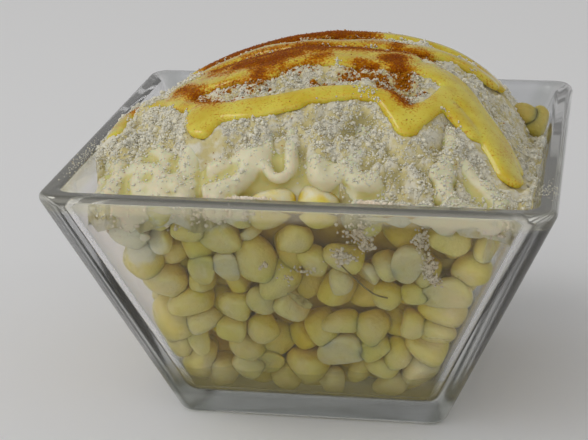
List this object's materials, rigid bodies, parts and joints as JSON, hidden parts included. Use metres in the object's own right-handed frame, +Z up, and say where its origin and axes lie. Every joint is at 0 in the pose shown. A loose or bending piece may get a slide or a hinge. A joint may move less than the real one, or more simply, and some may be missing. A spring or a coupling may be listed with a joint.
{
  "type": "bowl of esquites",
  "caption": "Square tapered glass bowl heaped with hot white corn kernels in a little broth, topped with piped mayonnaise, crumbled cheese, yellow cheese sauce and chili powder.",
  "frame": {"origin": "centre of the bowl's foot, on the surface it stands on", "axes": "+Z up; the front wall, which the kernels show through, faces -Y; +X to its right"},
  "size_m": [0.1158, 0.1158, 0.0863],
  "materials": {
    "bowl_glass": "clear pressed glass with a faint grey-green tint, fire-polished edges",
    "broth": "thin cloudy corn broth, olive-brown and wet",
    "corn": "cooked white corn kernels, pale cream-yellow, translucent and wet",
    "mayonnaise": "smooth off-white mayonnaise with a soft gloss",
    "crumbled_cheese": "dry crumbly white cheese, matte",
    "cheese_sauce": "smooth glossy yellow cheese sauce, dusted with orange-red chili powder"
  },
  "bodies": {
    "root": {"bowl": "bowl_glass", "broth": "broth", "corn": "corn", "mayonnaise": "mayonnaise", "crumbled_cheese": "crumbled_cheese", "cheese_sauce": "cheese_sauce"}
  },
  "joints": []
}
